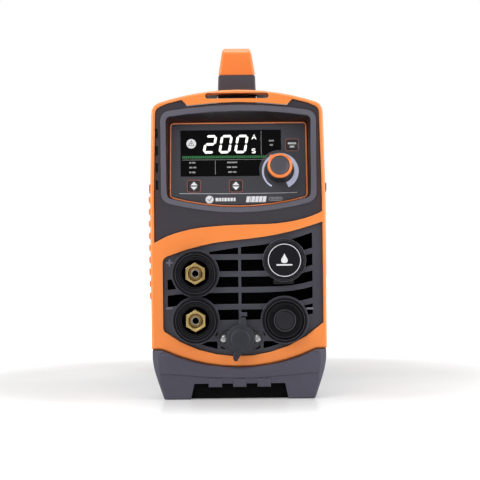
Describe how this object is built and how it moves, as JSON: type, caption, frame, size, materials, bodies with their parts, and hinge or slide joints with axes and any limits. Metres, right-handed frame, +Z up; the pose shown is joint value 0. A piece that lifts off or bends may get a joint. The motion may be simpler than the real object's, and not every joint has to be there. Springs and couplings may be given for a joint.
{
  "type": "tig welding machine",
  "caption": "Compact inverter TIG welding power source with a tilted control panel, welding sockets, bumper feet and a carry handle.",
  "frame": {"origin": "centre of the footprint on the floor, under the bumpers", "axes": "front faces -Y, +X to the right seen from the front, +Z up"},
  "size_m": [0.1488, 0.37, 0.292],
  "materials": {
    "orange_shell": "satin moulded plastic with a fine grain",
    "charcoal_shell": "fine spark-eroded texture",
    "panel_film": "printed overlay film, satin",
    "piping": "polished copper-orange edge strip",
    "display_lens": "clear gloss window over a black display",
    "display_works": "moulded display housing",
    "circuit": "solder mask",
    "key_rubber": "soft key caps",
    "black_plastic": "moulded, slight sheen",
    "socket_resin": "hard glossy thermoset",
    "knob_orange": "satin ring",
    "knob_face": "grey disc, fine grain",
    "badge_black": null,
    "dust_rubber": "soft rubber",
    "brass": "turned brass",
    "nickel_steel": "nickel-plated steel",
    "black_steel": "blackened screws",
    "sheet_paint": "powder coat, fine texture",
    "zinc_sheet": "grey powder coat",
    "valve_zinc": "zinc-plated",
    "hose": "gas hose",
    "alloy": "extruded fins",
    "can_blue": "sleeved can",
    "ferrite": "sintered ferrite",
    "winding": "taped winding",
    "copper_bar": "bare bar"
  },
  "bodies": {
    "case": {"badge_disc": "badge_black", "base_tray": "zinc_sheet", "busbar_minus": "copper_bar", "busbar_plus": "copper_bar", "cable_gland": "black_plastic", "capacitor_left": "can_blue", "capacitor_right": "can_blue", "case_cover": "sheet_paint", "control_board": "circuit", "control_panel": "panel_film", "display_bezel": "charcoal_shell", "display_module": "display_works", "display_window": "display_lens", "encoder_body": "black_plastic", "fan_frame": "black_plastic", "front_bumper": "charcoal_shell", "front_frame": "orange_shell", "front_grille": "charcoal_shell", "gas_inlet": "brass", "gas_tube": "hose", "gas_valve": "valve_zinc", "handle_base": "charcoal_shell", "handle_grip": "orange_shell", "heat_sink": "alloy", "key_switch_left": "black_plastic", "key_switch_middle": "black_plastic", "key_switch_upper": "black_plastic", "main_board": "circuit", "minus_socket_body": "socket_resin", "minus_socket_insert": "brass", "output_choke": "ferrite", "panel_piping": "piping", "plus_socket_body": "socket_resin", "plus_socket_insert": "brass", "power_switch_body": "black_plastic", "rear_bumper": "charcoal_shell", "rear_frame": "orange_shell", "rear_panel": "charcoal_shell", "remote_screw_left": "nickel_steel", "remote_screw_right": "nickel_steel", "remote_socket": "nickel_steel", "side_screw_front_left": "black_steel", "side_screw_front_right": "black_steel", "side_screw_rear_left": "black_steel", "side_screw_rear_right": "black_steel", "torch_connector": "brass", "torch_socket_body": "socket_resin", "transformer_core": "ferrite", "transformer_winding": "winding"},
    "knob": {"knob_skirt": "black_plastic", "knob_ring": "knob_orange", "knob_cap": "knob_face", "encoder_shaft": "nickel_steel"},
    "left_key": {"key_left": "key_rubber"},
    "middle_key": {"key_middle": "key_rubber"},
    "upper_key": {"key_upper": "key_rubber"},
    "socket_dust_cap": {"dust_cap": "dust_rubber"},
    "torch_dust_cap": {"torch_cap": "black_plastic"},
    "rocker": {"power_switch_rocker": "black_plastic"},
    "fan": {"fan_rotor": "black_plastic"}
  },
  "joints": [
    {"name": "knob_turn", "type": "hinge", "parent": "case", "child": "knob", "pos_m": [0.0346, -0.16509, 0.18801], "axis": [0, -0.9877, 0.1564], "continuous": true},
    {"name": "left_key_press", "type": "slide", "parent": "case", "child": "left_key", "axis": [0, 0.9877, -0.1564], "range_m": [0, 0.0008], "stiffness_N_per_m": 2000},
    {"name": "middle_key_press", "type": "slide", "parent": "case", "child": "middle_key", "axis": [0, 0.9877, -0.1564], "range_m": [0, 0.0008], "stiffness_N_per_m": 2000},
    {"name": "upper_key_press", "type": "slide", "parent": "case", "child": "upper_key", "axis": [0, 0.9877, -0.1564], "range_m": [0, 0.0008], "stiffness_N_per_m": 2000},
    {"name": "dust_cap_swing", "type": "hinge", "parent": "case", "child": "socket_dust_cap", "pos_m": [0.001, -0.178, 0.0665], "axis": [-1, 0, 0], "range_deg": [0, 95]},
    {"name": "torch_cap_pull", "type": "slide", "parent": "case", "child": "torch_dust_cap", "axis": [0, -1, 0], "range_m": [0, 0.016]},
    {"name": "rocker_tip", "type": "hinge", "parent": "case", "child": "rocker", "pos_m": [-0.036, 0.1605, 0.196], "axis": [-1, 0, 0], "range_deg": [0, 20]},
    {"name": "fan_spin", "type": "hinge", "parent": "case", "child": "fan", "pos_m": [0, 0.1477, 0.092], "axis": [0, 1, 0], "continuous": true}
  ]
}
